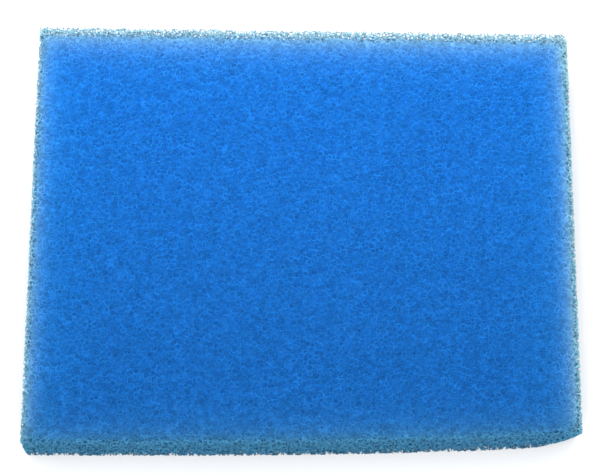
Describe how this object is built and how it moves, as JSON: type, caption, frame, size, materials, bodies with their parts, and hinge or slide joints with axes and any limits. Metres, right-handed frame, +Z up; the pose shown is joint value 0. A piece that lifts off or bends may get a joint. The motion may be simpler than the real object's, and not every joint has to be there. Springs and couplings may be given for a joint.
{
  "type": "sponge filter pad",
  "caption": "Flat rectangular pad of blue open-cell filter foam that strains and cleans pond or aquarium water flowing through it.",
  "frame": {"origin": "bottom centre of the pad's box, in the face that it lies on", "axes": "+X along the pad's length towards its narrower end, +Y towards its back face, +Z up through its thickness"},
  "size_m": [0.25, 0.203, 0.025],
  "materials": {
    "filter_foam": "matte open-cell polyurethane foam"
  },
  "bodies": {
    "root": {"foam_pad": "filter_foam"}
  },
  "joints": []
}
